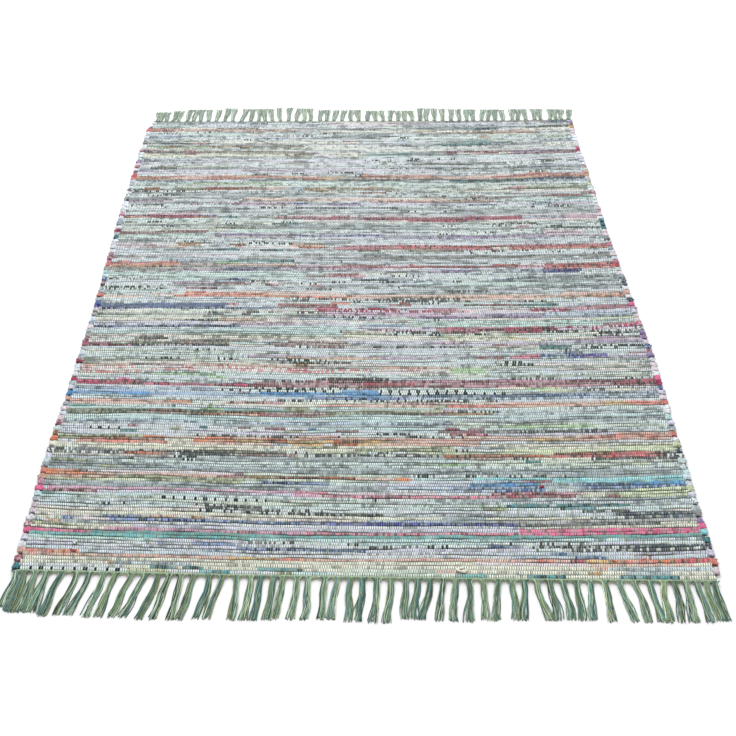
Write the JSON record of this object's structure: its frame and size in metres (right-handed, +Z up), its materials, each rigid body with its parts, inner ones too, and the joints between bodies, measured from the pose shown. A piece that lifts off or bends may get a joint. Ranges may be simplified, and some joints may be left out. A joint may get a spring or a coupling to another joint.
{
  "type": "rag rug",
  "caption": "Flat rectangular floor rug, plain-woven from striped rag strips on a thin warp, with looped selvedges and a knotted fringe at both ends.",
  "frame": {"origin": "middle of the underside, on the floor", "axes": "+Y along the warp towards the far end, +X across the rug, +Z up"},
  "size_m": [1.228, 2.02, 0.0082],
  "materials": {
    "rag_weft": "matt cotton rags in many colours, mostly pale mint and blue-grey",
    "warp_cotton": "matt twisted cotton yarn, sage and teal green"
  },
  "bodies": {
    "root": {"woven_field": "rag_weft", "near_fringe": "warp_cotton", "far_fringe": "warp_cotton"}
  },
  "joints": []
}
